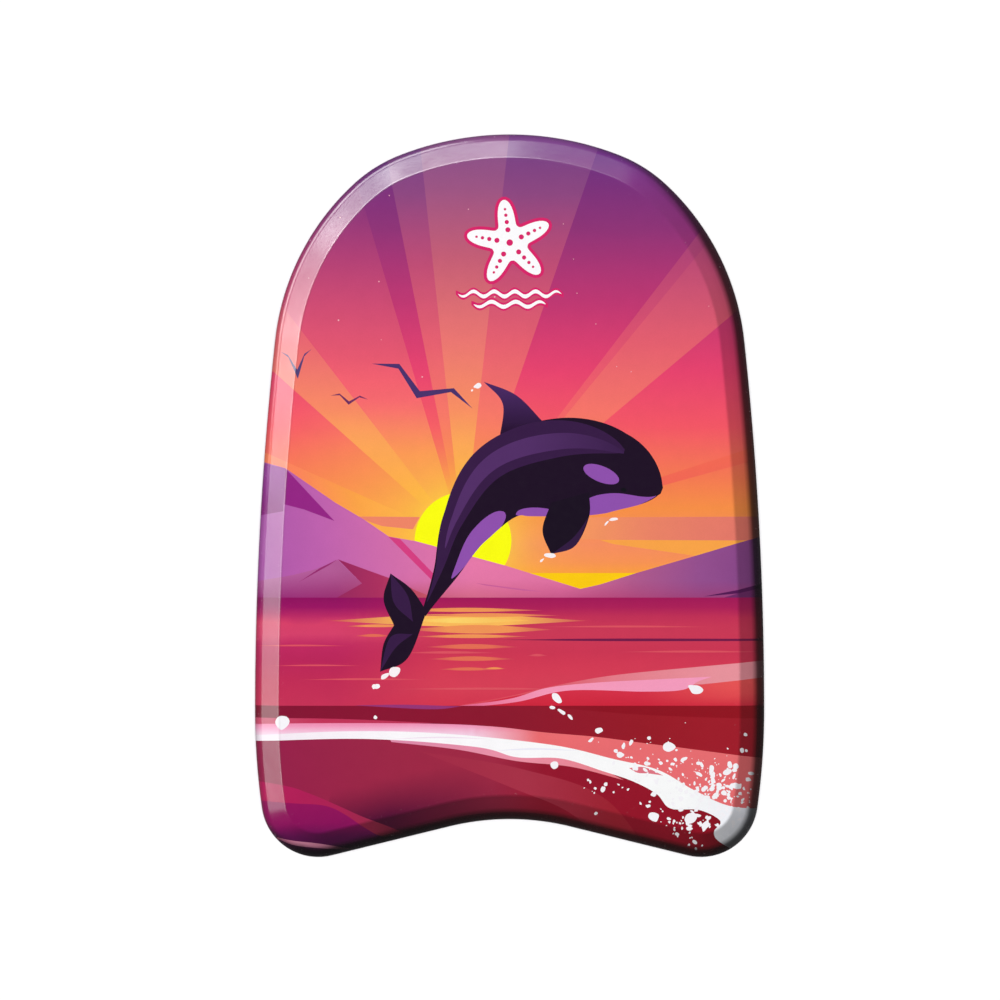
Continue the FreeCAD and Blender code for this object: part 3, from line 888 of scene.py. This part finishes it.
# ------------------------------------------------------------------------------------------- materials
class Nodes:
    """Short names for building a node material. An input is given as a socket to link from or as a value."""

    def __init__(self, name, roughness, specular=0.5):
        self.material = bpy.data.materials.new(name)
        self.material.use_nodes = True
        self.tree = self.material.node_tree
        self.shader = self.tree.nodes["Principled BSDF"]
        self.place = self.add("ShaderNodeTexCoord").outputs["Object"]
        self.shade(Roughness=roughness, Specular_IOR_Level=specular)

    def feed(self, socket, value):
        if isinstance(value, bpy.types.NodeSocket):
            self.tree.links.new(value, socket)
        else:
            socket.default_value = value

    def add(self, kind, inputs=None, **settings):
        node = self.tree.nodes.new(kind)
        for key, value in settings.items():
            setattr(node, key, value)
        for key, value in (inputs or {}).items():
            self.feed(node.inputs[key], value)
        return node

    def shade(self, **inputs):
        for key, value in inputs.items():
            self.feed(self.shader.inputs[key.replace("_", " ")], value)

    def noise(self, size_mm, detail=3.0, roughness=0.55):
        inputs = {"Vector": self.place, "Scale": 1 / (size_mm * MM), "Detail": detail, "Roughness": roughness}
        return self.add("ShaderNodeTexNoise", inputs).outputs["Fac"]

    def cells(self, size_mm, feature="F1"):
        inputs = {"Vector": self.place, "Scale": 1 / (size_mm * MM)}
        return self.add("ShaderNodeTexVoronoi", inputs, feature=feature).outputs["Distance"]

    def remap(self, value, low, high, to_low, to_high):
        inputs = {"Value": value, "From Min": low, "From Max": high, "To Min": to_low, "To Max": to_high}
        return self.add("ShaderNodeMapRange", inputs).outputs["Result"]

    def math(self, operation, first, second):
        return self.add("ShaderNodeMath", {0: first, 1: second}, operation=operation).outputs[0]

    def mix(self, factor, first, second, blend_type="MIX"):
        first, second = ((*c, 1.0) if isinstance(c, tuple) else c for c in (first, second))
        inputs = {0: factor, 6: first, 7: second}
        return self.add("ShaderNodeMix", inputs, data_type="RGBA", blend_type=blend_type).outputs[2]

    def bump(self, height, strength, distance_mm, after=None):
        inputs = {"Strength": strength, "Distance": distance_mm * MM, "Height": height}
        if after is not None:
            inputs["Normal"] = after
        return self.add("ShaderNodeBump", inputs).outputs["Normal"]

    def attribute(self, name, output):
        return self.add("ShaderNodeAttribute", attribute_name=name).outputs[output]


def printed_film():
    """Ink under a clear film: faint mottle in the ink, an orange-peel surface and a few scuffs."""
    n = Nodes("printed_film", 0.2, 0.72)
    mottle = n.remap(n.noise(9.0, 3.0), 0.3, 0.7, 0.985, 1.015)
    grain = n.remap(n.noise(0.6, 2.0), 0.3, 0.7, 0.98, 1.02)
    density = n.math("MULTIPLY", mottle, grain)
    grey = n.add("ShaderNodeCombineColor", {channel: density for channel in range(3)}).outputs[0]
    inked = n.mix(1.0, n.attribute("ink", "Color"), grey, "MULTIPLY")
    rubbed = n.remap(n.noise(2.2, 6.0, 0.7), 0.62, 0.74, 0.0, 1.0)
    scuff = n.math("MULTIPLY", rubbed, n.attribute("wear", "Fac"))
    gloss = n.remap(n.noise(5.0, 4.0), 0.3, 0.7, 0.17, 0.24)
    peel = n.bump(n.noise(1.6, 1.0, 0.4), 0.05, 0.25)
    n.shade(
        Base_Color=n.mix(n.math("MULTIPLY", scuff, 0.2), inked, (0.75, 0.70, 0.76)),
        Roughness=n.math("ADD", gloss, n.math("MULTIPLY", scuff, 0.25)),
        Normal=n.bump(n.noise(26.0, 2.0), 0.12, 0.8, after=peel),
    )
    return n.material


FOAM_ROUGHNESS = 0.85


def foam(name, colour, dark, cell_mm):
    """Fine closed-cell foam with pin-prick cells and a soft, uneven skin."""
    n = Nodes(name, FOAM_ROUGHNESS, 0.3)
    cell = n.cells(cell_mm)
    shade = n.mix(n.remap(n.noise(7.0, 4.0), 0.3, 0.7, 0.0, 0.5), colour, dark)
    skin = n.bump(n.remap(cell, 0.0, 0.5, 0.0, 1.0), 0.35, 0.18)
    n.shade(
        Base_Color=n.mix(n.remap(cell, 0.0, 0.22, 0.55, 0.0), shade, dark),
        Roughness=n.remap(n.noise(3.0, 3.0), 0.3, 0.7, FOAM_ROUGHNESS - 0.07, FOAM_ROUGHNESS + 0.07),
        Normal=n.bump(n.noise(4.0, 3.0), 0.25, 0.3, after=skin),
        Sheen_Weight=0.15,
        Sheen_Roughness=0.5,
    )
    return n.material


def bead_foam():
    """Expanded beads fused together, each with its own shade, and dark lines where they meet."""
    n = Nodes("bead_foam", 0.7, 0.35)
    walls = n.cells(3.4, "DISTANCE_TO_EDGE")
    shade = n.mix(n.remap(n.cells(3.4), 0.0, 0.7, 0.0, 1.0), (0.88, 0.88, 0.87), (0.78, 0.79, 0.80))
    n.shade(
        Base_Color=n.mix(n.remap(walls, 0.0, 0.06, 1.0, 0.0), shade, (0.52, 0.53, 0.55)),
        Roughness=n.remap(n.noise(1.5, 3.0), 0.3, 0.7, 0.6, 0.8),
        Normal=n.bump(n.remap(walls, 0.0, 0.25, 0.0, 1.0), 0.6, 0.5),
    )
    return n.material


def slick_film():
    """Coloured film with a fine pebble emboss, rubbed smoother and paler where it rests."""
    n = Nodes("slick_film", 0.42)
    pebble = n.cells(1.7, "SMOOTH_F1")
    drift = n.remap(n.noise(14.0, 4.0), 0.3, 0.7, 0.0, 1.0)
    tone = n.mix(drift, (0.075, 0.018, 0.080), (0.105, 0.026, 0.105))
    crowns = n.mix(n.remap(pebble, 0.1, 0.5, 0.35, 0.0), tone, (0.17, 0.06, 0.17))
    scratch = n.remap(n.noise(3.0, 8.0, 0.75), 0.64, 0.72, 0.0, 0.5)
    n.shade(
        Base_Color=n.mix(scratch, crowns, (0.30, 0.20, 0.30)),
        Roughness=n.remap(n.noise(6.0, 4.0), 0.3, 0.7, 0.34, 0.5),
        Normal=n.bump(n.noise(30.0, 2.0), 0.1, 0.8, after=n.bump(pebble, 0.35, 0.25)),
        Coat_Weight=0.2,
        Coat_Roughness=0.35,
    )
    return n.material


# ---------------------------------------------------------------------------------------------- pieces
def finish_piece(piece, node, material):
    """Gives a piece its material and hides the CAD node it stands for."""
    piece.data.materials.append(material)
    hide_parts(node)
    return piece


def with_lip(points, normals, faces, edge, side):
    """Turns the film's free edge in by its own thickness and back up behind itself."""
    plan, out, height = points[edge][:, :2], normals[edge][:, :2], points[edge][:, 2]
    previous = list(edge)
    for rise in (0.0, side * LIP_RISE):
        current = list(range(len(points), len(points) + len(edge)))
        points = np.vstack([points, np.column_stack([plan - out * FILM, height + rise])])
        normals = np.vstack([normals, np.column_stack([-out, np.zeros(len(edge))])])
        faces = faces + strip(previous, current, side < 0)
        previous = current
    return points, normals, faces


PAINTED_SHADE_TOWARDS = -40  # the side of the board where the painted edge shade is darkest


def painted_edge_shade(depth, out):
    """Painted shade near the edge, as a factor on the ink.

    A painted shadow line runs round the edge, deepest and widest towards the lower right, away from
    the lamps. Towards the upper left the bevel is painted a little darker than the flat, to tone down
    the lamps' light on it.
    """
    away = np.clip(0.62 + 1.1 * (out @ unit(PAINTED_SHADE_TOWARDS)), 0, 1)
    start, end, darkest = 3.8 * away**2, 4.4 + 3.8 * away**2, 0.6 - 0.5 * away
    share = np.clip((depth - start) / (end - start), 0, 1)
    line = darkest + (1 - darkest) * share * share * (3 - 2 * share)
    towards = np.clip(1.5 * (out @ unit(PAINTED_SHADE_TOWARDS + 180)) - 0.35, 0, 1)
    sloping = np.clip((DECK.flat_start - depth) / (0.3 * CREASE), 0, 1)
    return line * (1 - 0.45 * towards * sloping)


def make_print(picture):
    """The printed film, from the middle of the deck out over the rolled edge to its trimmed edge."""
    sheet = triangulate(DECK, picture.shapes, step=2.6, steps=3, grid=6.0)
    _, tris, owners, loop = sheet
    points, normals, faces, edge = face_surface(DECK, sheet, DECK_SEAM + FILM_SETBACK)
    points, normals, faces = with_lip(points, normals, faces, edge, 1)

    # Each triangle shows its topmost shape, and the swept edge goes on with the shape it starts from.
    shown = [picture.top(o) for o in owners]
    by_side = {}
    for (a, b, c), shape in zip(tris.tolist(), shown):
        by_side.update({(a, b): shape, (b, c): shape, (c, a): shape})
    swept_rows = (len(faces) - len(tris)) // len(loop)
    shown += [by_side[side] for side in zip(loop, loop[1:] + loop[:1])] * swept_rows

    corner_point = np.array([i for f in faces for i in f])
    corner_shape = np.repeat(shown, [len(f) for f in faces])
    xy = points[corner_point][:, :2]
    colours = np.ones((len(xy), 4))
    for shape in set(shown):
        here = corner_shape == shape
        colours[here, :3] = picture.fills[shape](xy[here])
    # Painted shade along the print's edge, darkest towards the lower right.
    colours[:, :3] *= painted_edge_shade(*locate(xy))[:, None]

    piece = make_object("printed_deck_skin", points, faces, normals)
    attribute = piece.data.color_attributes.new("ink", "FLOAT_COLOR", "CORNER")
    attribute.data.foreach_set("color", colours.ravel())
    depth, _ = locate(points[:, :2])
    on_crease = np.exp(-((depth - DECK.width) / 2.5) ** 2)
    on_roll = np.exp(-((depth - 1.5) / 2.0) ** 2)
    wear = piece.data.attributes.new("wear", "FLOAT", "POINT")
    wear.data.foreach_set("value", np.clip(on_crease * 0.5 + on_roll, 0, 1))
    return finish_piece(piece, "printed_deck_film", printed_film())


def plain_face(rim, edge_height):
    """One face of the board without a picture."""
    return face_surface(rim, triangulate(rim, [], step=4.0, steps=2, grid=9.0), edge_height)


def make_sheet_layer(name, node, rim, edge_height, material):
    """A closed foam sheet of even thickness over one face and its rim."""
    points, normals, faces, edge = plain_face(rim, edge_height)
    count = len(points)
    flipped = [[i + count for i in reversed(f)] for f in faces]
    closing = strip(edge, [i + count for i in edge], rim.side < 0)
    both = np.vstack([points - normals * FILM, points - normals * SKIN])
    piece = make_object(name, both, faces + flipped + closing)
    sharpen(piece, 50)
    return finish_piece(piece, node, material)


def sharpen(piece, degrees):
    """Marks edges sharper than an angle, so that only real corners shade as corners."""
    piece.data.set_sharp_from_angle(angle=math.radians(degrees))


def make_core(material):
    """The bead-foam core: both faces and the wall between them, as one closed slab."""
    top, top_normals, faces, top_edge = plain_face(DECK, (DECK_SEAM + BOTTOM_SEAM) / 2)
    low, low_normals, low_faces, low_edge = plain_face(BOTTOM, (DECK_SEAM + BOTTOM_SEAM) / 2)
    count = len(top)
    faces += [[i + count for i in f] for f in low_faces]
    faces += strip(top_edge, [i + count for i in low_edge], False)
    points = np.vstack([top - top_normals * SKIN, low - low_normals * SKIN])
    return finish_piece(make_object("bead_foam_core", points, faces), "foam_core", material)


def make_bottom_film():
    """The slick film under the board, with its edge turned in."""
    sheet = triangulate(BOTTOM, [], step=3.0, steps=3, grid=8.0)
    points, normals, faces, edge = face_surface(BOTTOM, sheet, BOTTOM_SEAM - FILM_SETBACK)
    points, normals, faces = with_lip(points, normals, faces, edge, -1)
    piece = make_object("bottom_slick_skin", points, faces, normals)
    return finish_piece(piece, "bottom_film", slick_film())


def rail_section():
    """The strip's section: distance in from the wall, and height. Its outer corners are rounded."""
    turns = [math.pi / 2 * i / 4 for i in range(5)]
    rounding = [(RAIL_ROUND * (1 - math.sin(a)), RAIL_ROUND * (1 - math.cos(a))) for a in turns]
    low = [(inward, BOTTOM_SEAM + rise) for inward, rise in rounding]
    high = [(inward, DECK_SEAM - rise) for inward, rise in reversed(rounding)]
    return [(SKIN, BOTTOM_SEAM)] + low + high + [(SKIN, DECK_SEAM)]


def make_rail(name, node, points, normals, material):
    """A foam strip bent along a stretch of the outline, closed and a little pinched at both ends."""
    section = rail_section()
    count, last = len(section), len(points) - 1
    verts, faces = [], []
    for i, (p, n) in enumerate(zip(points, normals)):
        pinch = END_PINCH if i in (0, last) else 0.0
        verts += [(*(p - n * (inward + pinch * (inward < SKIN))), z) for inward, z in section]
    for r in range(last):
        for s in range(count):
            t = (s + 1) % count
            faces.append([r * count + s, (r + 1) * count + s, (r + 1) * count + t, r * count + t])
    faces.append(list(range(count)))
    faces.append([last * count + s for s in reversed(range(count))])
    piece = make_object(name, verts, faces)
    sharpen(piece, 40)
    return finish_piece(piece, node, material)


def make_rails(material):
    """The strips round the side wall and across the tail, which butt at the tail corners."""
    flip = np.array([-1.0, 1.0])
    side, side_out = half_samples(RAIL_STEP, HALF[TAIL_PIECES:])
    tail, tail_out = half_samples(RAIL_STEP, HALF[:TAIL_PIECES])
    tail += [side[0] - [BUTT_GAP, 0.0]]
    tail_out += [side_out[0]]
    side[0] = side[0] + [BUTT_GAP, 0.02]
    side += [np.array([0.0, LENGTH / 2])]
    side_out += [np.array([0.0, 1.0])]
    left = [p * flip for p in side[-2::-1]]
    left_out = [n * flip for n in side_out[-2::-1]]
    make_rail("side_rail_strip", "side_rail", side + left, side_out + left_out, material)
    left = [p * flip for p in tail[:0:-1]]
    left_out = [n * flip for n in tail_out[:0:-1]]
    make_rail("tail_rail_strip", "tail_rail", left + tail, left_out + tail_out, material)


# ---------------------------------------------------------------------------------------------- studio
FRAME_WIDTH = 581.3  # what the frame spans at the height of the outline
OUTLINE_HEIGHT = 22.5
LOOK_AT = (-5.6, -2.5)
CAMERA_HEIGHT = 3.0
BOX_DISTANCE = 9.0
KEY_BOXES = ((182, 170.0), (156, 262.0), (130, 365.0), (104, 345.0), (78, 72.0))  # azimuth and power


def make_camera():
    """A camera straight above the board."""
    data = bpy.data.cameras.new("camera")
    data.sensor_width = 36.0
    data.lens = data.sensor_width * (CAMERA_HEIGHT - OUTLINE_HEIGHT * MM) / (FRAME_WIDTH * MM)
    data.clip_start, data.clip_end = 0.1, 50.0
    camera = bpy.data.objects.new("camera", data)
    camera.location = (LOOK_AT[0] * MM, LOOK_AT[1] * MM, CAMERA_HEIGHT)
    bpy.context.scene.collection.objects.link(camera)
    bpy.context.scene.camera = camera


def make_floor():
    """A plain pale floor just under the board."""
    half, drop = 12.0, -0.0002
    mesh = bpy.data.meshes.new("floor")
    corners = [(x * half, y * half, drop) for x, y in ((-1, -1), (1, -1), (1, 1), (-1, 1))]
    mesh.from_pydata(corners, [], [(0, 1, 2, 3)])
    floor = bpy.data.objects.new("floor", mesh)
    bpy.context.scene.collection.objects.link(floor)
    n = Nodes("floor_paint", 0.8, 0.2)
    patchy = n.remap(n.noise(40.0), 0.3, 0.7, 0.0, 1.0)
    n.shade(Base_Color=n.mix(patchy, (0.88, 0.88, 0.88), (0.90, 0.90, 0.90)))
    mesh.materials.append(n.material)
    floor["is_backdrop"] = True
    floor.visible_glossy = False
    return floor


def lamp_on(receivers, name, kind):
    """A lamp that lights only some of the objects."""
    lamp = bpy.data.objects.new(name, bpy.data.lights.new(name, kind))
    bpy.context.scene.collection.objects.link(lamp)
    lamp.light_linking.receiver_collection = receivers
    return lamp


def softbox(receivers, name, azimuth, elevation, width, height, power):
    """An area light aimed at the board. Azimuth runs anticlockwise from +X."""
    lamp = lamp_on(receivers, name, "AREA")
    lamp.data.shape, lamp.data.size, lamp.data.size_y = "RECTANGLE", width, height
    lamp.data.energy = power
    flat_reach, rise = unit(elevation)
    direction = np.array([*(unit(azimuth) * flat_reach), rise])
    lamp.location = direction * BOX_DISTANCE
    lamp.rotation_mode = "QUATERNION"
    lamp.rotation_quaternion = Vector(direction).to_track_quat("Z", "Y")


def make_studio(floor):
    """Softboxes up and to the left for the board, an even light for the floor, and a faint grey world.

    The higher boxes stand where the deck's bevel mirrors them to the camera. The low ones catch the
    rolled edge.
    """
    board = bpy.data.collections.new("board_light")
    ground = bpy.data.collections.new("floor_light")
    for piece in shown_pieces():
        board.objects.link(piece)
    ground.objects.link(floor)
    for azimuth, power in KEY_BOXES:
        softbox(board, f"key_{azimuth}", azimuth, elevation=38, width=4.1, height=2.2, power=power)
    for azimuth in (154, 118):
        softbox(board, f"low_{azimuth}", azimuth, elevation=10, width=6.1, height=2.9, power=430.0)
    sun = lamp_on(ground, "floor_light", "SUN")
    sun.data.energy, sun.data.angle = 3.4, math.radians(14)
    world = bpy.data.worlds.new("studio")
    world.use_nodes = True
    background = world.node_tree.nodes["Background"]
    background.inputs["Color"].default_value = (0.98, 0.98, 1.0, 1.0)
    background.inputs["Strength"].default_value = 0.1
    bpy.context.scene.world = world
    bpy.context.scene.view_settings.view_transform = "Standard"


make_camera()
make_print(draw_picture())
pale_foam = foam("pale_foam", (0.80, 0.74, 0.82), (0.62, 0.54, 0.66), 0.45)
violet_foam = foam("violet_foam", (0.075, 0.018, 0.080), (0.035, 0.008, 0.042), 0.5)
make_sheet_layer("deck_foam_sheet", "deck_foam", DECK, DECK_SEAM, pale_foam)
make_sheet_layer("bottom_foam_sheet", "bottom_foam", BOTTOM, BOTTOM_SEAM, pale_foam)
make_core(bead_foam())
make_bottom_film()
make_rails(violet_foam)
make_studio(make_floor())
